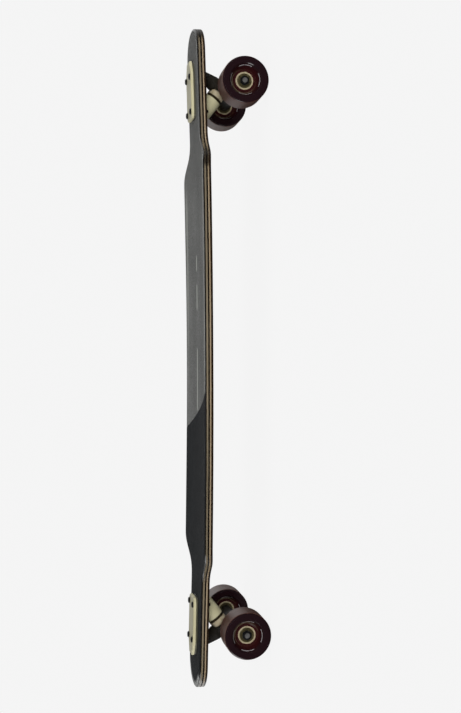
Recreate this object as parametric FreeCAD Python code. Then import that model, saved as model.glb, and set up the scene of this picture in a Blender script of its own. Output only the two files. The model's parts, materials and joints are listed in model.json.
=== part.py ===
import FreeCAD, Part
import math
import os

from FreeCAD import Placement, Rotation, Vector

# A drop-through longboard, in millimetres. The floor is z = 0, the board's middle is x = y = 0,
# +X points to the nose and +Y to the rider's left when facing the nose.

# Main sizes of the whole board
axle_base = 824.8
hanger_width = 180.0
wheel_diameter = 70.0
wheel_width = 51.0
truck_height = 61.6           # deck top above the axle, at the middle of the mounting bolts

# Deck outline
deck_length = 1026.0
waist_width = 224.0
wide_width = 231.0
neck_width = 119.0
wide_length = 570.0           # the wide part, with its waist in the middle
shoulder_length = 62.0        # each curve from the wide part in to the neck
tip_length = 41.0             # each rounded end

# Deck pressing
top_ply_thickness = 2.2       # the five plies, from the top down
upper_ply_thickness = 2.6
middle_ply_thickness = 2.4
lower_ply_thickness = 2.0
bottom_ply_thickness = 3.3
edge_round = 1.8              # rounding of the top and bottom edges
rocker_rise = 2.4             # rise of the centre line from the middle to the end of the wide part
concave_depth = 5.9           # rise of the rails over the centre line
middle_drop = 6.9             # the middle lies this much below the truck platforms
platform_tilt = 1.5           # degrees, outer end higher

# Grip sheets
grip_thickness = 0.8
grip_inset = 3.2
grip_gap = 0.8
grip_bond = 0.05              # glue line under the sheets
grip_window_gap = 1.2         # gap round the baseplates
grip_joint_near = -50.5       # where the slanting joint meets the right rail
grip_joint_far = -115.0       # where it meets the left rail

# Mounting bolts
bolt_spacing_long = 53.98
bolt_spacing_wide = 41.28
bolt_setback = 2.8            # middle of the bolts, inboard of the axle
bolt_diameter = 4.8
bolt_hole_clearance = 0.25
bolt_head_diameter = 9.6
bolt_head_height = 2.6
bolt_socket_diameter = 3.6
bolt_socket_depth = 1.6
bolt_end = 2.0                # thread past the nut
mounting_nut_width = 9.5
mounting_nut_height = 5.0

# Truck geometry
steer_angle = 51.5            # slope of the steering axis to the floor, in degrees
axle_rake = 4.85              # axle outboard of the steering axis
axle_drop = 19.7              # axle below the middle of the ring, along the steering axis
steer_clearance = 0.5         # air between the hanger and what it turns past

# Baseplate
plate_thickness = 7.5
plate_foot_height = 3.2       # set-back foot under the plate's edge
plate_foot_inset = 2.0
plate_side_margin = 6.4       # plate past the bolt centres, sideways
plate_end_margin = 5.0        # straight side past the outer bolts, before the taper
plate_inner_lip = 2.0         # plate past the slot at its inner end
plate_outer_lip = 4.2         # and at its outer end
plate_corner = 9.0
plate_outer_corner = 4.0
plate_edge_round = 1.4
slot_clearance = 0.6
boss_diameter = 26.8
boss_shoulder = 11.0          # depth of the boss below the deck at its inner face
housing_wall = 1.7

# Kingpin stack
kingpin_diameter = 9.5
kingpin_seat_depth = 15.0
kingpin_end = 2.5             # thread past the nut
kingpin_nut_width = 14.3
kingpin_nut_height = 8.0
bushing_diameter = 25.0
bushing_bore_clearance = 0.3
boardside_length = 10.5
roadside_length = 11.0
roadside_small_diameter = 20.0
bushing_edge = 0.8
boardside_washer_thickness = 3.8
roadside_washer_thickness = 2.5
washer_overhang = 0.5
washer_edge = 0.3

# Hanger
ring_diameter = 31.0
ring_thickness = 12.0
ring_bore_diameter = 16.0
arm_diameter = 23.2
arm_straight = 17.0           # arm's full width up to here, from the middle of the ring
nose_start = 39.2             # where the arm enters the pivot cup
nose_start_diameter = 12.6
nose_tip_diameter = 9.0
nose_tip_start = 45.0
nose_tip = 47.6
nose_blunt_share = 0.55       # flat of the nose's tip, as a share of its width
pivot_clearance = 0.08
cup_wall = 1.5
cup_floor = 1.5
beam_diameter = 21.0          # hanger beam beside the ring
beam_end_diameter = 15.0
beam_core_diameter = 14.4     # beam across the middle
beam_core_half = 24.0
beam_collar_length = 6.0
web_thickness = 9.0
web_top = 6.0                 # web's top above the middle of the ring
web_reach_share = 0.62        # web's foot on the beam, as a share of the half hanger
web_spread_share = 0.42       # web's half width at the ring's middle, as a share of the ring

# Axle, bearings and their stack
axle_diameter = 8.0
axle_fit = 0.02
speed_washer_diameter = 11.6
speed_washer_thickness = 1.0
bearing_width = 7.0
bearing_diameter = 22.0
inner_race_diameter = 12.1
outer_race_bore = 17.9
ball_diameter = 3.97
ball_count = 7
ball_clearance = 0.05
shield_gap = 0.3
shield_thickness = 0.35
shield_inset = 0.25
spacer_length = 10.0
spacer_diameter = 10.4
axle_nut_width = 13.0
axle_nut_height = 5.5
axle_end = 1.2                # thread past the nut
thread_chamfer = 0.8

# Form of every locknut
nut_hex_share = 0.66          # height of the hexagon, as a share of the nut
nut_collar_share = 0.80       # width of the round collar on it, as a share of the nut
nut_edge_share = 0.08         # rounding of the collar, as a share of the nut's height
nut_chamfer_angle = 30.0      # degrees, on the hexagon's corners

# Wheel
core_lip_diameter = 26.6
core_lip_proud = 0.6          # core past the bearing's face
core_rib_diameter = 40.0
core_rib_width = 15.0
core_shoulder_diameter = 18.4
dish_diameter = 47.0          # inner edge of the flat lip
dish_floor_diameter = 32.0
lip_round = 3.4
lip_flat_diameter = 64.0
dish_edge = 1.2

cut_overrun = 40.0            # how far cutting tools run past what they cut
hull_height = 400.0           # tall enough for any upright cut through the deck

# Places worked out from the sizes
wheel_radius = wheel_diameter / 2
axle_x = axle_base / 2
plies = [top_ply_thickness, upper_ply_thickness, middle_ply_thickness, lower_ply_thickness,
         bottom_ply_thickness]
deck_thickness = sum(plies)
deck_top_z = wheel_radius + truck_height
deck_bottom_z = deck_top_z - deck_thickness
bolt_x = axle_x - bolt_setback
half_length = deck_length / 2
half_wide = wide_width / 2
half_neck = neck_width / 2
shoulder_x = wide_length / 2
neck_x = shoulder_x + shoulder_length
tip_x = half_length - tip_length
tilt_slope = math.tan(math.radians(platform_tilt))
bolt_hole_radius = bolt_diameter / 2 + bolt_hole_clearance
boss_radius = boss_diameter / 2
slot_half = boss_radius + slot_clearance
plate_half = bolt_spacing_wide / 2 + plate_side_margin

# Stations along the kingpin, from the middle of the ring: boardside is negative, roadside positive
ring_half = ring_thickness / 2
boardside_bushing_end = -(ring_half + boardside_length)
seat_station = boardside_bushing_end - boardside_washer_thickness
roadside_bushing_end = ring_half + roadside_length
nut_station = roadside_bushing_end + roadside_washer_thickness
kingpin_last = nut_station + kingpin_nut_height + kingpin_end

# Stations along the axle, from the middle of the hanger
shoulder_y = hanger_width / 2
inner_bearing_y = shoulder_y + speed_washer_thickness
spacer_y = inner_bearing_y + bearing_width
outer_bearing_y = spacer_y + spacer_length
outer_washer_y = outer_bearing_y + bearing_width
axle_nut_y = outer_washer_y + speed_washer_thickness
axle_half = axle_nut_y + axle_nut_height + axle_end
wheel_y = (inner_bearing_y + outer_washer_y) / 2

# Radii of the pivot cup, which follows the hanger's nose at one clearance
cup_mouth_radius = nose_start_diameter / 2 + pivot_clearance + cup_wall
cup_end_radius = nose_tip_diameter / 2 + pivot_clearance + cup_wall
cup_end = nose_tip + pivot_clearance + cup_floor

# The truck's own frame: X down the kingpin, Y along the axle, Z up the steering axis, origin in the ring
truck_turn = Rotation(Vector(0, 1, 0), 90 - steer_angle)
axle_point = Vector(axle_x, 0, wheel_radius)
truck_frame = Placement(axle_point - truck_turn.multVec(Vector(axle_rake, 0, -axle_drop)), truck_turn)

# The plate's own frame: flat on the deck's top, origin in the middle of the mounting bolts
plate_frame = Placement(Vector(bolt_x, 0, deck_top_z), Rotation(Vector(0, 1, 0), -platform_tilt))

to_kingpin = Placement(Vector(0, 0, 0), Rotation(Vector(0, 1, 0), 90))
to_axle = Placement(Vector(0, 0, 0), Rotation(Vector(1, 0, 0), -90))
half_turn = Placement(Vector(0, 0, 0), Rotation(Vector(0, 0, 1), 180))
upside_down = Placement(Vector(0, 0, 0), Rotation(Vector(1, 0, 0), 180))
ends = {"front": Placement(), "rear": half_turn}

nodes = {}


def side(along, up):
    """A place in the truck's middle plane, given along the kingpin and up the steering axis."""
    return truck_frame.multVec(Vector(along, 0, up))


def placed(shape, placement):
    """A copy of a shape, carried by a placement."""
    return shape.transformed(placement.toMatrix(), True)


def face_of(points):
    """A flat face inside a closed run of straight lines."""
    return Part.Face(Part.makePolygon(points + points[:1]))


def turned(profile):
    """A solid turned about Z from a closed run of (radius, height) points."""
    points = [Vector(radius, 0, height) for radius, height in profile]
    return face_of(points).revolve(Vector(0, 0, 0), Vector(0, 0, 1), 360)


def tube(outer, inner, low, high):
    """A plain round tube about Z, given its two radii and two heights."""
    return turned([(inner, low), (outer, low), (outer, high), (inner, high)])


def rod(radius, low, high, chamfer=0):
    """A plain round bar about Z, with its ends chamfered if asked."""
    if not chamfer:
        return turned([(0, low), (radius, low), (radius, high), (0, high)])
    short = radius - chamfer
    return turned([(0, low), (short, low), (radius, low + chamfer), (radius, high - chamfer), (short, high),
                   (0, high)])


def hexagon(width, low, high):
    """A hexagonal bar about Z, given its width across the flats."""
    corner = width / 2 / math.cos(math.pi / 6)
    turns = [math.pi / 3 * step for step in range(6)]
    points = [Vector(corner * math.cos(turn), corner * math.sin(turn), low) for turn in turns]
    return face_of(points).extrude(Vector(0, 0, high - low))


def locknut(width, height, bore):
    """A nut about Z, from zero up: a hexagon with chamfered corners, and a collar for its locking ring."""
    flat = width / 2
    corner = flat / math.cos(math.pi / 6)
    chamfer = (corner - flat) * math.tan(math.radians(nut_chamfer_angle))
    step = height * nut_hex_share
    collar = flat * nut_collar_share
    edge = height * nut_edge_share
    form = turned([(0, 0), (flat, 0), (corner, chamfer), (corner, step - chamfer), (flat, step),
                   (collar, step), (collar, height - edge), (collar - edge, height), (0, height)])
    return hexagon(width, 0, height).common(form).cut(rod(bore, -cut_overrun, cut_overrun))


def side_prism(points, half_width):
    """A block with an outline in the truck's middle plane, as wide on the left as on the right."""
    face = face_of(points)
    face.translate(Vector(0, -half_width, 0))
    return face.extrude(Vector(0, 2 * half_width, 0))


def spine():
    """Places along the deck: distance, height and slope of its underside, and share of concave."""
    middle = deck_bottom_z - middle_drop
    rise = 2 * rocker_rise / shoulder_x
    front = [(0, middle, 0, 1), (shoulder_x, middle + rocker_rise, rise, 1)]
    for x in (neck_x, half_length + cut_overrun):
        front.append((x, deck_bottom_z + (x - bolt_x) * tilt_slope, tilt_slope, 0))
    return [(-x, height, -slope, share) for x, height, slope, share in reversed(front[1:])] + front


def slab(low, thickness):
    """A sheet larger than the deck, curved like the pressing, starting low above the deck's underside."""
    places = spine()
    first, last = places[0], places[-1]
    rows = [(first[0], first[1], first[3])]
    for (x, height, slope, share), (next_x, next_height, next_slope, next_share) in zip(places, places[1:]):
        third = (next_x - x) / 3
        rows.append((x + third, height + slope * third, share))
        rows.append((next_x - third, next_height - next_slope * third, next_share))
    rows.append((last[0], last[1], last[3]))
    half_width = half_wide + cut_overrun
    bow = concave_depth * (half_width / half_wide) ** 2
    poles = [[Vector(x, side_sign * half_width, height + low + share * bow * lift) for side_sign, lift in
              ((-1, 1), (0, -1), (1, 1))] for x, height, share in rows]
    stations = [place[0] for place in places]
    repeats = [4] + [2] * (len(places) - 2) + [4]
    surface = Part.BSplineSurface()
    surface.buildFromPolesMultsKnots(poles, repeats, [3, 3], stations, [-half_width, half_width],
                                     False, False, 3, 2)
    return surface.toShape().extrude(Vector(0, 0, thickness))


def eased(start, end):
    """A smooth line between two places, leaving and arriving along X."""
    middle = (start.x + end.x) / 2
    curve = Part.BezierCurve()
    curve.setPoles([start, Vector(middle, start.y, 0), Vector(middle, end.y, 0), end])
    return curve.toShape()


def deck_outline(inset):
    """An upright block inside the deck's outline, drawn in from it by an inset."""
    side_points = [(0, waist_width / 2), (shoulder_x, half_wide), (neck_x, half_neck), (tip_x, half_neck)]
    quarter = [Vector(x, y - inset, 0) for x, y in side_points]
    waist, wide, neck, tip_start = quarter
    edges = [eased(waist, wide), eased(wide, neck), Part.makeLine(neck, tip_start)]
    end = Vector(half_length - inset, 0, 0)
    tip = Part.Ellipse(tip_start, end, Vector(tip_x, 0, 0))
    edges.append(Part.Arc(tip, 0, math.pi / 2).toShape())
    half = edges + [edge.mirror(Vector(0, 0, 0), Vector(0, 1, 0)) for edge in edges]
    whole = half + [edge.mirror(Vector(0, 0, 0), Vector(1, 0, 0)) for edge in half]
    wire = Part.Wire(Part.__sortEdges__(whole))
    return Part.Face(wire).extrude(Vector(0, 0, hull_height))


def boss_inner_x():
    """Where the kingpin boss turns upright, a little below the deck."""
    low = side(seat_station, -boss_radius)
    run = side(seat_station - boss_diameter, -boss_radius) - low
    return low.x + run.x * (deck_bottom_z - boss_shoulder - low.z) / run.z


housing_x = side(cup_end_radius + housing_wall, cup_end).x
slot_inner_x = boss_inner_x() - slot_clearance
slot_outer_x = housing_x + slot_clearance
housing_half = cup_mouth_radius + housing_wall
plate_inner_x = slot_inner_x - plate_inner_lip
plate_outer_x = slot_outer_x + plate_outer_lip
taper_x = bolt_x + bolt_spacing_long / 2 + plate_end_margin


def slot_cut():
    """The opening in the deck that the truck drops through, narrower at its outer end."""
    narrow = housing_half + slot_clearance
    corners = [(slot_inner_x, slot_half), (taper_x, slot_half), (slot_outer_x, narrow)]
    points = [Vector(x, y, 0) for x, y in corners] + [Vector(x, -y, 0) for x, y in reversed(corners)]
    return face_of(points).extrude(Vector(0, 0, hull_height))


def bolt_places():
    """The four bolt centres in the plate's frame."""
    return [Vector(u * bolt_spacing_long / 2, v * bolt_spacing_wide / 2, 0) for u in (1, -1) for v in (1, -1)]


def bolt_holes():
    """Round cutters for the mounting bolts, through plate and deck."""
    cutter = rod(bolt_hole_radius, -cut_overrun, cut_overrun)
    holes = []
    for place in bolt_places():
        hole = cutter.copy()
        hole.translate(place)
        holes.append(placed(hole, plate_frame))
    return holes


def plate_face(grow):
    """The plate's outline in its own frame, tapering to its outer end, grown all round by a margin."""
    narrow = housing_half + plate_outer_lip
    corners = [(plate_inner_x, plate_half), (taper_x, plate_half), (plate_outer_x, narrow)]
    right = [Vector(x - bolt_x, -y, 0) for x, y in corners]
    left = [Vector(point.x, -point.y, 0) for point in reversed(right)]
    block = face_of(right + left).extrude(Vector(0, 0, plate_thickness))
    end_x = plate_outer_x - bolt_x - plate_outer_lip / 2
    inner = [edge for edge in uprights(block) if edge.CenterOfMass.x < end_x]
    block = block.makeFillet(plate_corner, inner)
    outer = [edge for edge in uprights(block) if edge.CenterOfMass.x > end_x]
    block = block.makeFillet(plate_outer_corner, outer)
    wire = min(block.Faces, key=lambda face: face.CenterOfMass.z).OuterWire
    return Part.Face(wire.makeOffset2D(grow) if grow else wire)


def uprights(block):
    """The upright edges of a flat-topped block."""
    return [edge for edge in block.Edges if edge.BoundBox.ZLength > block.BoundBox.ZLength / 2]


def make_deck():
    """Five pressed plies, cut to the outline, with openings for the two trucks and rounded outer edges."""
    blank = deck_outline(0)
    for turn in ends.values():
        cutters = [placed(shape, turn) for shape in [slot_cut()] + bolt_holes()]
        blank = blank.cut(cutters)
    low = deck_thickness
    for number, thickness in enumerate(plies, 1):
        low -= thickness
        ply = slab(low, thickness).common(blank).Solids[0]
        if number == 1:
            ply = rounded(ply, max)
        if number == len(plies):
            ply = rounded(ply, min)
        nodes[f"deck_ply_{number}"] = ply


def rounded(ply, pick):
    """A ply with the outer edge of its upper skin (pick max) or its lower skin (pick min) rounded over."""
    skins = sorted(ply.Faces, key=lambda face: face.Area)[-2:]
    skin = pick(skins, key=lambda face: face.CenterOfMass.z)
    return ply.makeFillet(edge_round, skin.OuterWire.Edges)


def make_grip():
    """Two die-cut sheets on top of the deck, meeting at a slanting joint and cut out round the baseplates."""
    sheet = slab(deck_thickness + grip_bond, grip_thickness).common(deck_outline(grip_inset))
    for turn in ends.values():
        window = plate_face(grip_window_gap).extrude(Vector(0, 0, cut_overrun))
        window.translate(Vector(0, 0, -cut_overrun / 2))
        sheet = sheet.cut(placed(placed(window, plate_frame), turn))
    for name, sign in (("front_grip_sheet", 1), ("rear_grip_sheet", -1)):
        near = Vector(grip_joint_near + sign * grip_gap / 2, -half_wide, 0)
        far = Vector(grip_joint_far + sign * grip_gap / 2, half_wide, 0)
        end = sign * deck_length
        points = [near, far, Vector(end, half_wide, 0), Vector(end, -half_wide, 0)]
        nodes[name] = sheet.common(face_of(points).extrude(Vector(0, 0, hull_height))).Solids[0]


def make_baseplate():
    """The cast plate on the deck with its kingpin boss and its pivot housing, which hang through the slot."""
    foot = plate_face(-plate_foot_inset).extrude(Vector(0, 0, plate_foot_height))
    plate = plate_face(0).extrude(Vector(0, 0, plate_thickness - plate_foot_height))
    plate.translate(Vector(0, 0, plate_foot_height))
    top = max(plate.Faces, key=lambda face: face.CenterOfMass.z)
    plate = placed(plate.makeFillet(plate_edge_round, top.OuterWire.Edges).fuse(foot), plate_frame)
    roof = deck_top_z + plate_thickness / 2
    low = side(seat_station, -boss_radius)
    high = side(seat_station, boss_radius)
    shoulder = Vector(boss_inner_x(), 0, deck_bottom_z - boss_shoulder)
    outline = [low, high, Vector(high.x, 0, roof), Vector(shoulder.x, 0, roof), shoulder]
    boss = side_prism(outline, boss_radius)
    boss_reach = seat_station - 2 * boss_diameter
    round_part = on_kingpin(rod(boss_radius, boss_reach, seat_station))
    above = [side(seat_station, 0), side(boss_reach, 0)]
    above += [point + Vector(0, 0, hull_height) for point in reversed(above)]
    boss = boss.common(round_part.fuse(side_prism(above, boss_radius)))
    mouth_in = side(-cup_mouth_radius - housing_wall, nose_start)
    mouth_out = side(cup_mouth_radius + housing_wall, nose_start)
    rise = (housing_x - mouth_out.x) / math.cos(math.radians(steer_angle))
    bend = side(cup_mouth_radius + housing_wall, nose_start + rise)
    wall = [mouth_in, mouth_out, bend, Vector(housing_x, 0, roof), Vector(mouth_in.x, 0, roof)]
    housing = side_prism(wall, housing_half)
    body = plate.fuse([boss, housing]).removeSplitter()
    cup_bore = placed(turned(cup_profile()), truck_frame)
    pin_start = seat_station - kingpin_seat_depth
    pin_bore = on_kingpin(rod(kingpin_diameter / 2, pin_start, seat_station + cut_overrun))
    return body.cut([cup_bore, pin_bore] + bolt_holes())


def cup_profile():
    """The pivot cup's outer form about the steering axis."""
    return [(0, nose_start), (cup_mouth_radius, nose_start), (cup_end_radius, cup_end), (0, cup_end)]


def nose_profile(grow):
    """The hanger's pivot nose about the steering axis, grown by a clearance, from the cup's mouth up."""
    start = nose_start_diameter / 2 + grow
    tip = nose_tip_diameter / 2 + grow
    top = nose_tip + grow
    blunt = tip * nose_blunt_share
    return [(0, nose_start), (start, nose_start), (tip, nose_tip_start), (blunt, top), (0, top)]


def make_hanger():
    """The cast hanger: ring round the kingpin, tapering pivot arm, webs and a beam along the axle."""
    ring = placed(rod(ring_diameter / 2, -ring_half, ring_half), to_kingpin)
    arm_radius = arm_diameter / 2
    neck_radius = nose_start_diameter / 2
    arm = turned([(0, 0), (arm_radius, 0), (arm_radius, arm_straight), (neck_radius, nose_start),
                  (0, nose_start)])
    nose = turned(nose_profile(0))
    beam_radius = beam_diameter / 2
    end_radius = beam_end_diameter / 2
    core_radius = beam_core_diameter / 2
    collar = shoulder_y - beam_collar_length
    beam = turned([(0, 0), (core_radius, 0), (beam_radius, beam_core_half), (end_radius, collar),
                   (end_radius, shoulder_y), (0, shoulder_y)])
    beam = placed(beam.fuse(beam.mirror(Vector(0, 0, 0), Vector(0, 0, 1))), to_axle)
    beam.translate(Vector(axle_rake, 0, -axle_drop))
    foot = shoulder_y * web_reach_share
    spread = ring_diameter * web_spread_share
    web = [Vector(-web_thickness / 2, spread, web_top), Vector(-web_thickness / 2, foot, -axle_drop)]
    web += [Vector(point.x, -point.y, point.z) for point in reversed(web)]
    web = face_of(web).extrude(Vector(web_thickness, 0, 0))
    body = ring.fuse([arm, nose, beam, web]).removeSplitter()
    clear = bushing_diameter / 2 + washer_overhang + steer_clearance
    boardside = placed(rod(clear, -ring_half - cut_overrun, -ring_half), to_kingpin)
    roadside = placed(rod(clear, ring_half, ring_half + cut_overrun), to_kingpin)
    bore = placed(rod(ring_bore_diameter / 2, -cut_overrun, cut_overrun), to_kingpin)
    body = placed(body.cut([boardside, roadside, bore]), truck_frame)
    return body.cut(axle_bar()).Solids[0]


def axle_bar():
    """The steel axle through the hanger."""
    bar = placed(rod(axle_diameter / 2, -axle_half, axle_half, thread_chamfer), to_axle)
    bar.translate(axle_point)
    return bar


def on_kingpin(shape):
    """A piece turned about Z, set on the kingpin's axis."""
    return placed(placed(shape, to_kingpin), truck_frame)


def kingpin_pieces():
    """The kingpin with its two bushings, two washers and nut."""
    pin = kingpin_diameter / 2
    bore = pin + bushing_bore_clearance
    full = bushing_diameter / 2
    small = roadside_small_diameter / 2
    washer = full + washer_overhang
    edge = bushing_edge
    end = boardside_bushing_end
    barrel = [(bore, end), (full - edge, end), (full, end + edge), (full, -ring_half - edge),
              (full - edge, -ring_half), (bore, -ring_half)]
    last = roadside_bushing_end
    cone = [(bore, ring_half), (full - edge, ring_half), (full, ring_half + edge), (small, last - edge),
            (small - edge, last), (bore, last)]
    cup = [(bore, seat_station), (washer - washer_edge, seat_station), (washer, seat_station + washer_edge),
           (washer, end - washer_edge), (washer - washer_edge, end), (bore, end)]
    flat_radius = small + washer_overhang
    flat = [(bore, last), (flat_radius - washer_edge, last), (flat_radius, last + washer_edge),
            (flat_radius, nut_station - washer_edge), (flat_radius - washer_edge, nut_station),
            (bore, nut_station)]
    nut = raised(locknut(kingpin_nut_width, kingpin_nut_height, pin), nut_station)
    stud = rod(pin, seat_station - kingpin_seat_depth, kingpin_last, thread_chamfer)
    return {
        "boardside_bushing": turned(barrel),
        "roadside_bushing": turned(cone),
        "boardside_washer": turned(cup),
        "roadside_washer": turned(flat),
        "kingpin_nut": nut,
        "kingpin": stud,
    }


def make_bolts():
    """One mounting bolt with its socket head on the plate, and its nut under the deck."""
    head_low = plate_thickness
    head_high = head_low + bolt_head_height
    nut_low = -deck_thickness - mounting_nut_height
    head_radius = bolt_head_diameter / 2
    crown_height = bolt_head_height / 2
    shank = bolt_diameter / 2
    end = nut_low - bolt_end
    bolt = turned([(0, end), (shank - thread_chamfer, end), (shank, end + thread_chamfer), (shank, head_low),
                   (head_radius, head_low), (head_radius, head_high - crown_height),
                   (head_radius - crown_height, head_high), (0, head_high)])
    bolt = bolt.cut(hexagon(bolt_socket_diameter, head_high - bolt_socket_depth, head_high + cut_overrun))
    nut = placed(locknut(mounting_nut_width, mounting_nut_height, shank), upside_down)
    return bolt, raised(nut, -deck_thickness)


def four_bolts(piece):
    """Four copies of a bolt or nut at the mounting places, as a group."""
    copies = []
    for place in bolt_places():
        copy = piece.copy()
        copy.translate(place)
        copies.append(placed(copy, plate_frame))
    return Part.makeCompound(copies)


def on_axle(shape, y):
    """A piece turned about Z, set on the front axle at a distance from its middle."""
    piece = placed(shape, to_axle)
    piece.translate(axle_point + Vector(0, y, 0))
    return piece


def axle_pieces():
    """What turns on no wheel: the axle, its nuts, washers, spacers and the bearings' inner races."""
    bar = axle_diameter / 2
    bore = bar + axle_fit
    washer = tube(speed_washer_diameter / 2, bore, 0, speed_washer_thickness)
    spacer = tube(spacer_diameter / 2, bore, 0, spacer_length)
    race = tube(inner_race_diameter / 2, bore, 0, bearing_width).cut(ball_groove())
    nut = locknut(axle_nut_width, axle_nut_height, bar)
    groups = {
        "speed_washers": (washer, (shoulder_y, outer_washer_y)),
        "bearing_spacers": (spacer, (spacer_y,)),
        "bearing_inner_races": (race, (inner_bearing_y, outer_bearing_y)),
        "axle_nuts": (nut, (axle_nut_y,)),
    }
    pieces = {"axle": axle_bar()}
    for name, (shape, stations) in groups.items():
        left = [on_axle(shape, y) for y in stations]
        right = [piece.mirror(Vector(0, 0, 0), Vector(0, 1, 0)) for piece in left]
        pieces[name] = Part.makeCompound(left + right)
    return pieces


def ball_pitch():
    """Radius of the circle that the bearing's balls run on."""
    return (inner_race_diameter + outer_race_bore) / 4


def ball_groove():
    """The running groove for the balls, at the middle of a bearing."""
    return Part.makeTorus(ball_pitch(), ball_diameter / 2 + ball_clearance, Vector(0, 0, bearing_width / 2))


def mirrored_profile(half):
    """A closed (radius, height) profile from its upper half, mirrored about the wheel's middle."""
    return half + [(radius, -height) for radius, height in reversed(half)]


def core_outline():
    """Upper half of the core's outer form: a lip round the bearing and a rib in the tyre."""
    lip = core_lip_diameter / 2
    rib = core_rib_diameter / 2
    face = outer_washer_y - wheel_y + core_lip_proud
    return [(lip, face), (lip, core_rib_width / 2), (rib, core_rib_width / 2)]


def wheel_pieces():
    """One wheel about Z with its middle at zero: tyre, core, bearing outer races, shields and balls."""
    seat = bearing_diameter / 2
    step = core_shoulder_diameter / 2
    half_spacer = spacer_length / 2
    outline = core_outline()
    face = outline[0][1]
    bore = [(step, half_spacer), (seat, half_spacer), (seat, face)]
    core = turned(mirrored_profile(bore + outline))
    half_width = wheel_width / 2
    dish = dish_diameter / 2
    flat = lip_flat_diameter / 2
    floor = dish_floor_diameter / 2
    inside = list(reversed(outline))
    outside = [(floor, face), (dish, half_width - dish_edge), (dish + dish_edge, half_width),
               (flat, half_width)]
    tread = half_width - lip_round
    upper = [Vector(radius, 0, height) for radius, height in inside + outside]
    bend = math.sqrt(1 / 2)
    edges = [Part.makeLine(a, b) for a, b in zip(upper, upper[1:])]
    middle = Vector(flat + (wheel_radius - flat) * bend, 0, tread + lip_round * bend)
    edges.append(Part.Arc(upper[-1], middle, Vector(wheel_radius, 0, tread)).toShape())
    below = [edge.mirror(Vector(0, 0, 0), Vector(0, 0, 1)) for edge in edges]
    joins = [Part.makeLine(Vector(wheel_radius, 0, tread), Vector(wheel_radius, 0, -tread))]
    joins.append(Part.makeLine(Vector(upper[0].x, 0, -upper[0].z), upper[0]))
    wire = Part.Wire(Part.__sortEdges__(edges + below + joins))
    tyre = Part.Face(wire).revolve(Vector(0, 0, 0), Vector(0, 0, 1), 360)
    race = tube(seat, outer_race_bore / 2, 0, bearing_width).cut(ball_groove())
    shield = tube(outer_race_bore / 2, inner_race_diameter / 2 + shield_gap, 0, shield_thickness)
    ball = Part.makeSphere(ball_diameter / 2)
    races = []
    shields = []
    balls = []
    pitch = ball_pitch()
    for low in (half_spacer, -half_spacer - bearing_width):
        races.append(raised(race, low))
        shields.append(raised(shield, low + shield_inset))
        shields.append(raised(shield, low + bearing_width - shield_inset - shield_thickness))
        for number in range(ball_count):
            turn = 2 * math.pi * number / ball_count
            place = Vector(pitch * math.cos(turn), pitch * math.sin(turn), low + bearing_width / 2)
            copy = ball.copy()
            copy.translate(place)
            balls.append(copy)
    return {
        "tyre": tyre,
        "core": core,
        "bearing_outer_races": Part.makeCompound(races),
        "bearing_shields": Part.makeCompound(shields),
        "bearing_balls": Part.makeCompound(balls),
    }


def raised(shape, height):
    """A copy of a shape, moved up."""
    copy = shape.copy()
    copy.translate(Vector(0, 0, height))
    return copy


def make_trucks():
    """Both trucks: the rear one is the front one turned half round."""
    bolt, nut = make_bolts()
    pieces = {name: on_kingpin(shape) for name, shape in kingpin_pieces().items()}
    cup = turned(cup_profile()).cut(turned(nose_profile(pivot_clearance)))
    pieces["pivot_cup"] = placed(cup, truck_frame)
    pieces["baseplate"] = make_baseplate()
    pieces["mounting_bolts"] = four_bolts(bolt)
    pieces["mounting_nuts"] = four_bolts(nut)
    pieces["hanger"] = make_hanger()
    pieces.update(axle_pieces())
    for end, turn in ends.items():
        for name, shape in pieces.items():
            nodes[f"{end}_{name}"] = placed(shape, turn)


def make_wheels():
    """Four like wheels, one at each axle end."""
    pieces = wheel_pieces()
    for end, x in (("front", axle_x), ("rear", -axle_x)):
        for hand, y in (("left", wheel_y), ("right", -wheel_y)):
            for name, shape in pieces.items():
                piece = placed(shape, to_axle)
                piece.translate(Vector(x, y, wheel_radius))
                nodes[f"{end}_{hand}_{name}"] = piece


make_deck()
make_grip()
make_trucks()
make_wheels()

os.makedirs("parts", exist_ok=True)
for name, shape in nodes.items():
    shape.exportStep(f"parts/{name}.step")
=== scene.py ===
import json
import math

import bpy
from mathutils import Matrix, Vector


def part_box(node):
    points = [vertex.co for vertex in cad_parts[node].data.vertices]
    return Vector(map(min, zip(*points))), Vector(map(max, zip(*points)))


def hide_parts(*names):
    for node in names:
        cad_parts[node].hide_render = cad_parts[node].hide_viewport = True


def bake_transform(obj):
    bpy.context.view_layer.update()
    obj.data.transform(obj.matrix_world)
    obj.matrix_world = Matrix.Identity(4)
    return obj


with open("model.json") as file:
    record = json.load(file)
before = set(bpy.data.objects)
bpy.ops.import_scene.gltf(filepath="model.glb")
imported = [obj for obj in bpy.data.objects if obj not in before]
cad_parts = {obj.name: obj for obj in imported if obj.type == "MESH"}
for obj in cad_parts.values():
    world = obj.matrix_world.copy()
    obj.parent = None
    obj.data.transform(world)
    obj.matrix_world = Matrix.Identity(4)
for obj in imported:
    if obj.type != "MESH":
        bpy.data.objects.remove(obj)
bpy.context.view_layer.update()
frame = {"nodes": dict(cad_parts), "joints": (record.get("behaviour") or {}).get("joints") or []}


# Deck plies
# Five maple veneers, dark and plain by turns, pressed in a curved mould, cut to the outline and varnished.
# The edges that face the nose, at its tip and at the front shoulders, carry painted shade, and the tip of the
# tail a painted highlight with some scuffing.

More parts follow.
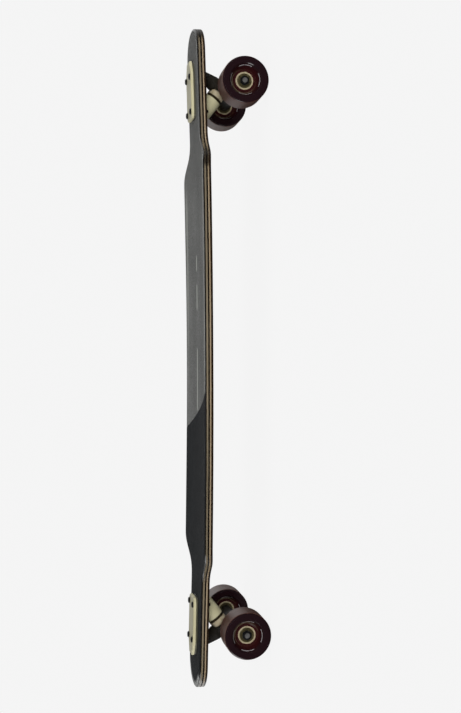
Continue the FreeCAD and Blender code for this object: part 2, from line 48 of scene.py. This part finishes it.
class Field:
    """A number, colour or vector that changes over a surface: one output socket of a material's nodes."""

    def __init__(self, tree, socket=None):
        self.tree = tree
        self.socket = socket

    def feed(self, made, values):
        """Sets the sockets of a node, or links other fields to them."""
        for name, value in values.items():
            if isinstance(value, Field):
                self.tree.links.new(value.socket, made.inputs[name])
            else:
                made.inputs[name].default_value = value

    def node(self, kind, settings, values, out=0):
        """Adds a node, with its settings first and then its sockets."""
        made = self.tree.nodes.new("ShaderNode" + kind)
        for name, value in settings.items():
            setattr(made, name, value)
        self.feed(made, values)
        return Field(self.tree, made.outputs[out])

    def math(self, operation, first, second=0.0):
        return self.node("Math", {"operation": operation}, {0: first, 1: second})

    def __add__(self, other):
        return self.math("ADD", self, other)

    def __radd__(self, other):
        return self.math("ADD", other, self)

    def __sub__(self, other):
        return self.math("SUBTRACT", self, other)

    def __rsub__(self, other):
        return self.math("SUBTRACT", other, self)

    def __mul__(self, other):
        return self.math("MULTIPLY", self, other)

    def __rmul__(self, other):
        return self.math("MULTIPLY", other, self)

    def __truediv__(self, other):
        return self.math("DIVIDE", self, other)

    def __rtruediv__(self, other):
        return self.math("DIVIDE", other, self)

    def __pow__(self, other):
        return self.math("POWER", self, other)

    def __rpow__(self, other):
        return self.math("POWER", other, self)

    def __abs__(self):
        return self.math("ABSOLUTE", self)

    def step(self, none, full):
        """A soft step: 0 up to the first number, 1 from the second on, in either direction."""
        return self.node("MapRange", {"interpolation_type": "SMOOTHSTEP"},
                         {"Value": self, "From Min": none, "From Max": full})

    def mix(self, low, high):
        """A colour between two colours, by this number."""
        return self.node("Mix", {"data_type": "RGBA"}, {0: self, 6: low, 7: high}, out=2)

    def stretch(self, x, y, z):
        """This place, with its three axes multiplied."""
        return self.node("VectorMath", {"operation": "MULTIPLY"}, {0: self, 1: (x, y, z)})

    def part(self, axis):
        """One of this place's three distances, in metres."""
        return self.node("SeparateXYZ", {}, {0: self}, out="XYZ".index(axis))

    def noise(self, scale, detail=3.0, roughness=0.55):
        """Cloudy grain with that many lumps in a metre."""
        return self.node("TexNoise", {},
                         {"Vector": self, "Scale": scale, "Detail": detail, "Roughness": roughness})

    def cells(self, scale):
        """Distance to the nearest of that many scattered grains in a metre."""
        return self.node("TexVoronoi", {}, {"Vector": self, "Scale": scale})

    def bump(self, strength, distance):
        """A surface raised by this number, at most by a distance in metres."""
        return self.node("Bump", {}, {"Height": self, "Strength": strength, "Distance": distance})


def rgb(red, green, blue):
    """A colour as it reads on a screen, from 0 to 255, as the shader's own numbers."""
    shares = [value / 255 for value in (red, green, blue)]
    return tuple(s / 12.92 if s <= 0.04045 else ((s + 0.055) / 1.055) ** 2.4 for s in shares) + (1.0,)


def darker(colour, share):
    """A colour with only a share of its light."""
    return tuple(part * share for part in colour[:3]) + (1.0,)


def surface(name):
    """A new material and the place on its piece, in the board's frame, which moves with the piece."""
    made = bpy.data.materials.new(name)
    made.use_nodes = True
    return made, Field(made.node_tree).node("TexCoord", {}, {}, out="Object")


def set_finish(made, sockets):
    """Sets or links the sockets of a material's main shader."""
    Field(made.node_tree).feed(made.node_tree.nodes["Principled BSDF"], sockets)
    return made


def dress(made, *names):
    """Gives a material to CAD nodes, each in all its slots."""
    for name in names:
        for slot in frame["nodes"][name].material_slots:
            slot.material = made


# Painted shade on the edges that face the nose, at its tip and at the front shoulders.
painted_shade_brown = rgb(14, 10, 7)
nose_shade = (0.480, 0.496)
nose_shade_share = 0.92
shoulder_shade = (0.280, 0.291)
shoulder_shade_end = (0.324, 0.308)
shoulder_shade_share = 0.85
# The pale grey of a painted highlight, with some scuffing, at the tip of the tail.
scuff_highlight_grey = rgb(186, 187, 185)
tail_scuff_highlight = (-0.488, -0.502)


def veneer(name, dark, light, shine, shade_share, scuff_and_highlight):
    """Varnished veneer, its grain along the board, with painted shade at the nose and the front shoulders
    and a painted highlight, with some scuffing, at the tail.
    """
    made, place = surface(name)
    drift = place.noise(3.0) - 0.5
    fibre = place.stretch(7.0, 520.0, 520.0).noise(1.0, 4.0, 0.6)
    broad = place.stretch(2.2, 60.0, 60.0).noise(1.0, 2.0)
    pores = place.stretch(60.0, 2600.0, 2600.0).noise(1.0, 2.0).step(0.62, 0.78)
    tone = (fibre * 0.7 + broad * 0.5 + drift * 0.25 - 0.1).step(0.2, 0.85)
    colour = (pores * 0.55).mix(tone.mix(dark, light), darker(dark, 0.45))
    along = place.part("X")
    # Painted shade on the edges that face the nose: at its tip and at the front shoulders.
    shoulder = along.step(*shoulder_shade) * along.step(*shoulder_shade_end)
    painted_shade = along.step(*nose_shade) * nose_shade_share + shoulder * shoulder_shade_share
    colour = (painted_shade * shade_share).mix(colour, painted_shade_brown)
    # Painted highlight, with some scuffing, along the edge at the tip of the tail.
    streak = place.stretch(60.0, 60.0, 900.0).noise(1.0, 3.0).step(0.35, 0.6)
    colour = (along.step(*tail_scuff_highlight) * (0.3 + streak * 0.7) * scuff_and_highlight).mix(colour, scuff_highlight_grey)
    return set_finish(made, {
        "Base Color": colour,
        "Roughness": 0.20 + fibre * 0.14,
        "Specular IOR Level": shine,
        "Normal": (fibre - pores * 0.6).bump(0.25, 0.0002),
    })


black_dyed = (rgb(5, 3, 2), rgb(11, 7, 4))
pale_maple = (rgb(84, 74, 58), rgb(128, 117, 97))
warm_maple = (rgb(114, 96, 74), rgb(158, 142, 118))
brown_dyed = (rgb(18, 11, 6), rgb(40, 26, 15))
# The two light veneers take the painted shade at the nose; all but the middle one take the painted highlight
# at the tail.
dress(veneer("top veneer", *black_dyed, shine=0.6, shade_share=0.0, scuff_and_highlight=0.25), "deck_ply_1")
dress(veneer("pale veneer", *pale_maple, shine=0.4, shade_share=1.0, scuff_and_highlight=0.8), "deck_ply_2")
dress(veneer("dark veneer", *black_dyed, shine=0.3, shade_share=0.0, scuff_and_highlight=0.0), "deck_ply_3")
dress(veneer("warm veneer", *warm_maple, shine=0.4, shade_share=1.0, scuff_and_highlight=0.8), "deck_ply_4")
dress(veneer("brown veneer", *brown_dyed, shine=0.3, shade_share=0.0, scuff_and_highlight=0.35), "deck_ply_5")


# Grip sheets
# Abrasive grains in resin on a thin backing, die cut and stuck to the top veneer: a grey sheet to the front,
# with a broken pale line and pale streaks along the rails, and a charcoal one to the rear, with a painted
# highlight and some scuffing along the rim of the tail.

line_side = 0.013
line_width = 0.0070
line_runs = ((-0.078, 0.011), (0.080, 0.112), (0.141, 0.157))
line_white = rgb(224, 228, 218)
# Pale streaks along both rails of the grey sheet, towards the front.
rail_streak_side = 0.096
rail_streak_width = 0.009
rail_streak_start = (-0.12, 0.18)
rail_streak_end = (0.29, 0.24)
rail_streak_grey = rgb(186, 188, 182)
clean_front = (0.22, 0.40)
glint_grey = rgb(176, 176, 174)
tip_middle = -0.472
tip_long = 0.041
tip_half = 0.0595
tip_start = (-0.482, -0.490)


def grit(name, dark, light, runs):
    """Crushed grains with worn places, printed runs, a few of them that catch the light, and a painted
    highlight with some scuffing at the tip of the tail.
    """
    made, place = surface(name)
    along, across = place.part("X"), place.part("Y")
    grain = place.cells(1500.0)
    fine = place.noise(4200.0, 2.0)
    lumps = place.noise(480.0, 2.0)
    wear = place.stretch(9.0, 14.0, 14.0).noise(1.0, 4.0)
    glint = place.cells(900.0).step(0.16, 0.10)
    tone = 0.95 - grain * 0.55 + (fine - 0.5) * 0.7 + (wear - 0.5) * 0.5 + (lumps - 0.5) * 0.9
    colour = (glint * 0.35).mix(tone.step(0.1, 1.15).mix(dark, light), glint_grey)
    if runs:
        colour = (along.step(*clean_front) * 0.3).mix(colour, dark)
        # Pale streaks along both rails of the grey sheet.
        rail_streak = abs(abs(across) - rail_streak_side).step(rail_streak_width, rail_streak_width * 0.3)
        rail_streak = rail_streak * along.step(*rail_streak_start) * along.step(*rail_streak_end)
        colour = (rail_streak * (0.35 + fine * 0.4)).mix(colour, rail_streak_grey)
    for low, high in runs:
        run = along.step(low - line_width, low) * along.step(high + line_width, high)
        run = run * abs(across - line_side).step(line_width * 0.62, line_width * 0.38)
        colour = (run * (0.5 + fine * 0.4)).mix(colour, line_white)
    # Painted highlight, with some scuffing, round the rim of the tail's tip.
    rim = ((along - tip_middle) / tip_long) ** 2 + (across / tip_half) ** 2 + (wear - 0.5) * 0.2
    tip_scuff_highlight = rim.step(0.5, 0.75) * along.step(*tip_start) * (0.5 + fine * 0.4)
    return set_finish(made, {
        "Base Color": tip_scuff_highlight.mix(colour, scuff_highlight_grey),
        "Roughness": 0.82 + fine * 0.16,
        "Specular IOR Level": 0.2,
        "Normal": ((1 - grain) * 0.8 + fine * 0.4).bump(0.7, 0.0004),
    })


dress(grit("grey grit", rgb(70, 70, 69), rgb(152, 153, 151), line_runs), "front_grip_sheet")
dress(grit("charcoal grit", rgb(11, 12, 14), rgb(37, 40, 43), ()), "rear_grip_sheet")


# Baseplates
# One aluminium casting for each truck, cream coated: the plate on the deck, and below it the kingpin's boss
# and the pivot cup's housing. The skin has a fine orange peel, and painted shade runs round the plate's foot.

ends = ("front", "rear")
seat_x = 0.4097
seat_height = 0.0966
seat_slope = math.tan(math.radians(1.5))
foot_height = 0.0032
foot_start = (-0.002, -0.001)
# The dark of the painted shade round the plate's foot.
foot_shade_colour = rgb(40, 40, 33)


def casting(name, base, shade, roughness, gloss, skin, foot_shade):
    """A coated casting: orange peel, soft changes of tone, rubbed-in dust, painted shade round a foot on the
    deck.
    """
    made, place = surface(name)
    peel = place.noise(900.0, 3.0)
    cloud = place.noise(26.0, 3.0)
    dust = place.noise(160.0, 5.0, 0.7).step(0.54, 0.78)
    colour = (cloud.step(0.3, 0.75) * 0.6 + dust * 0.3).mix(base, shade)
    # Painted shade: a dark band round the plate's foot, where it meets the deck.
    if foot_shade:
        above = place.part("Z") - seat_height - (abs(place.part("X")) - seat_x) * seat_slope
        foot = above.step(foot_height * 1.15, foot_height * 0.85) * above.step(*foot_start)
        colour = (foot * foot_shade).mix(colour, foot_shade_colour)
    return set_finish(made, {
        "Base Color": colour,
        "Roughness": roughness + peel * 0.14 + dust * 0.1,
        "Specular IOR Level": gloss,
        "Normal": (peel + dust * 0.2).bump(skin, 0.0002),
    })


plate_coat = casting("cream casting", rgb(186, 181, 150), rgb(166, 159, 124),
                     roughness=0.38, gloss=0.4, skin=0.25, foot_shade=0.9)
for end in ends:
    dress(plate_coat, f"{end}_baseplate")


# Mounting bolts and nuts
# Four black steel socket bolts go through plate and deck on each truck, with black locknuts below. Each nut
# has a rounded collar that holds a nylon ring.

made, place = surface("black oxide")
rub = place.noise(700.0, 4.0, 0.65).step(0.56, 0.74)
turning = place.stretch(400.0, 400.0, 5200.0).noise(1.0, 2.0)
black_oxide = set_finish(made, {
    "Base Color": (rub * 0.5).mix(rgb(20, 20, 21), rgb(70, 70, 70)),
    "Metallic": 0.35 + rub * 0.4,
    "Roughness": 0.34 + turning * 0.2,
    "Normal": turning.bump(0.12, 0.0001),
})
for end in ends:
    dress(black_oxide, f"{end}_mounting_bolts", f"{end}_mounting_nuts")


# Kingpins, their washers and nuts, and the pivot cups
# A zinc-plated steel pin is pressed into each boss. On it sit a brown washer, two bushings with the hanger's
# ring between them, a second washer and a locknut. The hanger's nose turns in a black rubber cup.

def plated_steel(name, tint, roughness):
    """Plated or ground steel, a little clouded, with turning marks."""
    made, place = surface(name)
    cloud = place.noise(300.0, 4.0)
    marks = place.noise(3800.0, 2.0)
    return set_finish(made, {
        "Base Color": cloud.mix(darker(tint, 0.72), tint),
        "Metallic": 0.7,
        "Roughness": roughness + cloud * 0.16,
        "Normal": (marks + cloud * 0.5).bump(0.1, 0.0001),
    })


zinc = plated_steel("zinc plate", rgb(176, 176, 172), 0.26)

made, place = surface("washer brown")
rub = place.noise(500.0, 4.0, 0.65)
washer_brown = set_finish(made, {
    "Base Color": rub.step(0.5, 0.8).mix(rgb(34, 27, 15), rgb(64, 54, 33)),
    "Roughness": 0.5 + rub * 0.2,
    "Specular IOR Level": 0.25,
    "Normal": rub.bump(0.2, 0.0001),
})

made, place = surface("cup rubber")
bloom = place.noise(240.0, 4.0)
cup_rubber = set_finish(made, {
    "Base Color": bloom.step(0.4, 0.8).mix(rgb(17, 17, 17), rgb(44, 44, 43)),
    "Roughness": 0.6 + bloom * 0.25,
    "Normal": place.noise(1800.0).bump(0.2, 0.0001),
})

for end in ends:
    dress(zinc, f"{end}_kingpin", f"{end}_kingpin_nut")
    dress(washer_brown, f"{end}_boardside_washer", f"{end}_roadside_washer")
    dress(cup_rubber, f"{end}_pivot_cup")


# Bushings
# Two cast urethane springs on each kingpin, a barrel against the board and a cone against the road. They are
# squeezed on one side when the hanger turns.

bushing_bore = 0.0068
bore_rings = 8
bushing_turns = 64
crevice_shade_reach = 0.02
light_depth = (0.004, 0.003, 0.002)
bushing_forms = {
    "boardside": ((-0.0165, 0.0112), (-0.0162, 0.0120), (-0.0157, 0.0124), (-0.0140, 0.0126),
                  (-0.0112, 0.0127), (-0.0085, 0.0126), (-0.0068, 0.0124), (-0.0063, 0.0120),
                  (-0.0060, 0.0112)),
    "roadside": ((0.0060, 0.0112), (0.0063, 0.0120), (0.0069, 0.0124), (0.0095, 0.0119),
                 (0.0130, 0.0110), (0.0160, 0.0102), (0.0167, 0.0098), (0.0170, 0.0091)),
}


def lathe(name, rings, start, along):
    """A ring-shaped mesh turned about an axis, from (station, radius) points that close on themselves."""
    along = along.normalized()
    across = Vector((0, 1, 0))
    third = along.cross(across)
    points = []
    for station, radius in rings:
        for number in range(bushing_turns):
            turn = 2 * math.pi * number / bushing_turns
            outward = across * math.cos(turn) + third * math.sin(turn)
            points.append(start + along * station + outward * radius)
    faces = []
    for ring in range(len(rings)):
        near, far = ring * bushing_turns, (ring + 1) % len(rings) * bushing_turns
        for number in range(bushing_turns):
            following = (number + 1) % bushing_turns
            faces.append((near + number, far + number, far + following, near + following))
    mesh = bpy.data.meshes.new(name)
    mesh.from_pydata(points, [], faces)
    mesh.shade_smooth()
    made = bpy.data.objects.new(name, mesh)
    bpy.context.scene.collection.objects.link(made)
    return made


made, place = surface("bushing urethane")
flow = place.noise(110.0, 4.0)
unshaded_urethane = flow.step(0.3, 0.75).mix(rgb(180, 169, 145), rgb(160, 147, 119))
# Painted shade: the urethane is darker in crevices against the hanger and the washers, by ambient occlusion.
openness = place.node("AmbientOcclusion", {"samples": 8}, {"Distance": crevice_shade_reach}, out="AO")
bushing_urethane = set_finish(made, {
    "Base Color": openness.step(0.40, 0.90).mix(rgb(58, 52, 41), unshaded_urethane),
    "Roughness": 0.42 + flow * 0.15,
    "Subsurface Weight": 0.2,
    "Subsurface Radius": light_depth,
    "Normal": place.noise(1400.0).bump(0.12, 0.0001),
})

joints = {joint["name"]: joint for joint in frame["joints"]}
for end in ends:
    hinge = joints[f"{end}_steer"]
    ring_centre = Vector(hinge["pos_m"])
    down_pin = Vector(hinge["axis"]).cross(Vector((0, 1, 0)))
    down_pin = -down_pin if down_pin.z > 0 else down_pin
    for seat, form in bushing_forms.items():
        first, last = form[0][0], form[-1][0]
        bore = [(last + (first - last) * ring / bore_rings, bushing_bore) for ring in range(bore_rings + 1)]
        bushing = lathe(f"{end}_{seat}_bushing_soft", list(form) + bore, ring_centre, down_pin)
        bushing.data.materials.append(bushing_urethane)
        fixed, turning = (first, last) if seat == "boardside" else (last, first)
        ring_centre + down_pin * fixed
        ring_centre + down_pin * turning
        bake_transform(bushing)
        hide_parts(f"{end}_{seat}_bushing")


# Hangers
# One aluminium casting for each truck, black coated: a ring round the kingpin, the arm up to the pivot, and a
# beam along the axle with a web to either side.

hanger_coat = casting("black casting", rgb(21, 19, 16), rgb(42, 38, 32),
                      roughness=0.48, gloss=0.25, skin=0.35, foot_shade=0.0)
for end in ends:
    dress(hanger_coat, f"{end}_hanger")


# Axles, nuts, washers and spacers
# A steel bar through each hanger carries both wheels. Speed washers and a spacer keep the bearings apart, and
# a locknut with a nylon ring holds each wheel on.

axle_steel = plated_steel("axle steel", rgb(134, 133, 132), 0.36)
for end in ends:
    dress(axle_steel, f"{end}_axle", f"{end}_speed_washers", f"{end}_bearing_spacers")
    dress(black_oxide, f"{end}_axle_nuts")


# Bearings
# Two ball bearings in each wheel, pressed into the core: ground steel races with seven steel balls between
# them, and shields of pressed sheet that close both sides.

hands = ("left", "right")
ground_steel = plated_steel("ground steel", rgb(212, 206, 190), 0.22)

made, place = surface("pressed shield")
press = place.noise(420.0, 3.0)
shield_steel = set_finish(made, {
    "Base Color": press.step(0.35, 0.75).mix(rgb(66, 60, 38), rgb(94, 86, 60)),
    "Metallic": 0.5,
    "Roughness": 0.36 + press * 0.2,
    "Normal": press.bump(0.15, 0.0001),
})

for end in ends:
    dress(ground_steel, f"{end}_bearing_inner_races")
    for hand in hands:
        dress(ground_steel, f"{end}_{hand}_bearing_balls")
        dress(shield_steel, f"{end}_{hand}_bearing_shields", f"{end}_{hand}_bearing_outer_races")


# Wheels
# Clear dark red urethane, cast round a cream plastic core that seats the bearings. The faces are glossy from
# the mould; the tread is ground, so it is duller and browner. Four fine pale arcs in each dish are partly
# print and partly a painted highlight on the dish's edge.

axle_x, wheel_y, axle_z = (abs(value) for value in joints["front_left_spin"]["pos_m"])
tyre_low, tyre_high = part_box("front_left_tyre")
tyre_radius = (tyre_high.z - tyre_low.z) / 2
tread_edge = (tyre_radius - 0.0009, tyre_radius - 0.0003)
tread_waver = 0.0006
shoulder_edge = (0.0325, 0.0345)
painted_glow_edge = (0.0250, 0.0165)
arc_radius = 0.0217
arc_width = 0.0006
arc_count = 4
arc_ends = (-0.35, -0.15)
dish_side = (0.008, 0.010)

made, place = surface("core plastic")
speck = place.noise(300.0, 3.0)
core_plastic = set_finish(made, {
    "Base Color": speck.step(0.3, 0.8).mix(rgb(160, 149, 122), rgb(137, 126, 99)),
    "Roughness": 0.32 + speck * 0.2,
    "Coat Weight": 0.2,
    "Normal": speck.bump(0.1, 0.0001),
})

made, place = surface("dark red urethane")
x = abs(place.part("X")) - axle_x
y = abs(place.part("Y")) - wheel_y
z = place.part("Z") - axle_z
radius = (x * x + z * z) ** 0.5
flow = place.noise(70.0, 4.0)
grooves = place.stretch(12.0, 5200.0, 12.0).noise(1.0, 3.0, 0.6)
scuff_and_highlight = place.noise(260.0, 5.0, 0.65)
tread = (radius + (flow - 0.5) * tread_waver).step(*tread_edge)
shoulder = radius.step(*shoulder_edge)
# Painted glow: the body is redder towards the core, as if lit through the clear urethane.
painted_glow = radius.step(*painted_glow_edge) + (flow - 0.5) * 0.3
# Four pale arcs in each dish, partly print and partly a painted highlight on the dish's edge.
angle = z.math("ARCTAN2", z, x) * arc_count
arcs = angle.math("COSINE", angle).step(*arc_ends)
arcs = abs(radius - arc_radius).step(arc_width, arc_width * 0.4) * abs(y).step(*dish_side) * arcs
body = (arcs * 0.5).mix(painted_glow.mix(rgb(26, 12, 16), rgb(46, 15, 16)), rgb(190, 186, 188))
ground = (grooves * 0.5 + scuff_and_highlight * 0.5).step(0.3, 0.7).mix(rgb(57, 33, 27), rgb(103, 70, 60))
red_urethane = set_finish(made, {
    "Base Color": tread.mix(body, ground),
    "Roughness": 0.13 + flow * 0.05 + shoulder * (0.08 + scuff_and_highlight * 0.1) + tread * 0.10,
    "Specular IOR Level": 0.5,
    "Coat Weight": (1 - shoulder) * 0.12,
    "Coat Roughness": 0.06,
    "Normal": (tread * grooves + (1 - tread) * flow * 0.15).bump(0.25, 0.00015),
})

for end in ends:
    for hand in hands:
        dress(core_plastic, f"{end}_{hand}_core")
        dress(red_urethane, f"{end}_{hand}_tyre")


# Studio
# A wide pale floor and an even pale surround. The board is lit by soft lamps to the nose, the tail and the
# front, and by a bright back of the room. The room in front of it is dim, so that glossy faces stay deep.

floor_half = 60.0
floor_back = (-0.15, 0.5)
room_back = (-0.3, 0.5)
room_high = (0.1, 0.7)
room_nose = (-0.35, 0.35)
shadow_reach = 0.12
pale = (0.91, 0.91, 0.91, 1.0)
shaded = (0.885, 0.885, 0.885, 1.0)
bright = (0.86, 0.86, 0.86, 1.0)
dim = (0.07, 0.07, 0.07, 1.0)
board_middle = Vector((0.0, 0.0, 0.06))


def show_pale(tree, lit, output, colour):
    """Lets the camera see plain paleness, while the board is lit by another shader."""
    start = Field(tree)
    shown = start.node("Emission", {}, {"Color": colour})
    camera_ray = start.node("LightPath", {}, {})
    lit = Field(tree, tree.nodes[lit].outputs[0])
    mixed = start.node("MixShader", {}, {0: camera_ray, 1: lit, 2: shown})
    start.feed(tree.nodes[output], {"Surface": mixed})


floor_mesh = bpy.data.meshes.new("floor")
corners = [(x * floor_half, y * floor_half, 0) for x, y in ((-1, -1), (1, -1), (1, 1), (-1, 1))]
floor_mesh.from_pydata(corners, [], [(0, 1, 2, 3)])
floor = bpy.data.objects.new("floor", floor_mesh)
bpy.context.scene.collection.objects.link(floor)
made, place = surface("pale floor")
set_finish(made, {
    "Base Color": place.part("Y").step(*floor_back).mix(dim, bright),
    "Roughness": 1.0,
    "Specular IOR Level": 0.0,
})
openness = place.node("AmbientOcclusion", {"samples": 8}, {"Distance": shadow_reach}, out="AO")
show_pale(made.node_tree, "Principled BSDF", "Material Output", openness.mix(shaded, pale))
floor_mesh.materials.append(made)

world = bpy.data.worlds.new("surround")
world.use_nodes = True
direction = Field(world.node_tree).node("TexCoord", {}, {}, out="Generated")
behind = direction.part("Y").step(*room_back) * (1 - direction.part("Z").step(*room_high) * 0.65)
behind = behind * (0.6 + direction.part("X").step(*room_nose) * 0.9)
direction.feed(world.node_tree.nodes["Background"], {"Color": behind.mix(dim, bright)})
show_pale(world.node_tree, "Background", "World Output", pale)
bpy.context.scene.world = world


def soft_light(name, place, wide, tall, power, mirrored):
    """A soft light at a place, aimed at the board, which glossy faces mirror or not."""
    lamp = bpy.data.lights.new(name, "AREA")
    lamp.shape = "RECTANGLE"
    lamp.size = wide
    lamp.size_y = tall
    lamp.energy = power
    made = bpy.data.objects.new(name, lamp)
    made.location = place
    made.visible_glossy = mirrored
    made.rotation_mode = "QUATERNION"
    made.rotation_quaternion = (board_middle - Vector(place)).to_track_quat("-Z", "Y")
    bpy.context.scene.collection.objects.link(made)


soft_light("nose light", (4.2, -0.4, 0.6), wide=2.6, tall=1.1, power=60.0, mirrored=False)
soft_light("tail light", (-4.2, -0.6, 1.1), wide=5.0, tall=2.0, power=125.0, mirrored=True)
soft_light("front light", (0.5, -3.2, 0.6), wide=4.2, tall=1.1, power=138.0, mirrored=False)


# Camera
# It looks at the board's right side from a little above, two metres off. The picture is turned a quarter
# turn, so that the nose points up in it and the deck's top is to the left.

camera_place = Vector((0.0007, -2.0734, 0.3608))
camera_pitch = math.radians(8.80)
camera_yaw = math.radians(0.04)
camera_roll = math.radians(-0.24)
picture_tall = 713
focal_pixels = 1333.5
sensor = 36.0

up = Vector((0, 0, 1))
level = Vector((math.sin(camera_yaw), math.cos(camera_yaw), 0))
right = Vector((math.cos(camera_yaw), -math.sin(camera_yaw), 0))
ahead = level * math.cos(camera_pitch) - up * math.sin(camera_pitch)
above = level * math.sin(camera_pitch) + up * math.cos(camera_pitch)
picture_right = right * math.sin(camera_roll) - above * math.cos(camera_roll)
picture_up = right * math.cos(camera_roll) + above * math.sin(camera_roll)
lens = bpy.data.cameras.new("camera")
lens.sensor_width = sensor
lens.lens = focal_pixels / picture_tall * sensor
camera = bpy.data.objects.new("camera", lens)
turned = Matrix((picture_right, picture_up, -ahead)).transposed().to_4x4()
camera.matrix_world = Matrix.Translation(camera_place) @ turned
bpy.context.scene.collection.objects.link(camera)
bpy.context.scene.camera = camera
bpy.context.scene.view_settings.view_transform = "Standard"
